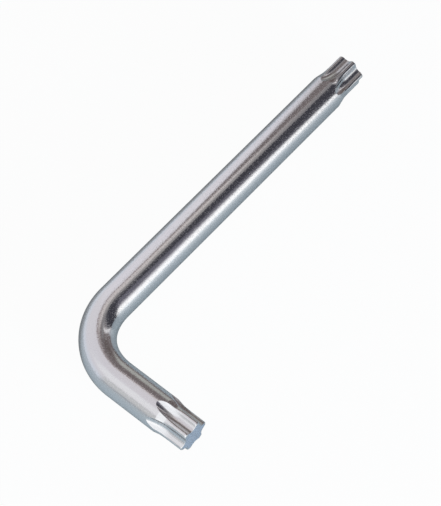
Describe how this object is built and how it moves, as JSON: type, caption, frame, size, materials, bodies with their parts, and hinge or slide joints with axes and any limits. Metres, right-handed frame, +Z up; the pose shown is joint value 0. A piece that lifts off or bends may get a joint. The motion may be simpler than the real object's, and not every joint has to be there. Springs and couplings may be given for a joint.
{
  "type": "star key",
  "caption": "L-shaped star key bent from round plated steel bar, with a fluted six-lobe star tip on the end of each arm for turning star-socket screws.",
  "frame": {"origin": "under the middle of the key's box, on the surface that the key lies on", "axes": "+Y along the long arm towards its star tip, +X along the short arm towards its star tip, +Z up, square to the plane of the L"},
  "size_m": [0.0432, 0.1118, 0.0096],
  "materials": {
    "plated_steel": "bright plated steel with fine draw lines and small pits"
  },
  "bodies": {
    "root": {"long_arm": "plated_steel", "bend": "plated_steel", "short_arm": "plated_steel", "long_star_tip": "plated_steel", "short_star_tip": "plated_steel"}
  },
  "joints": []
}
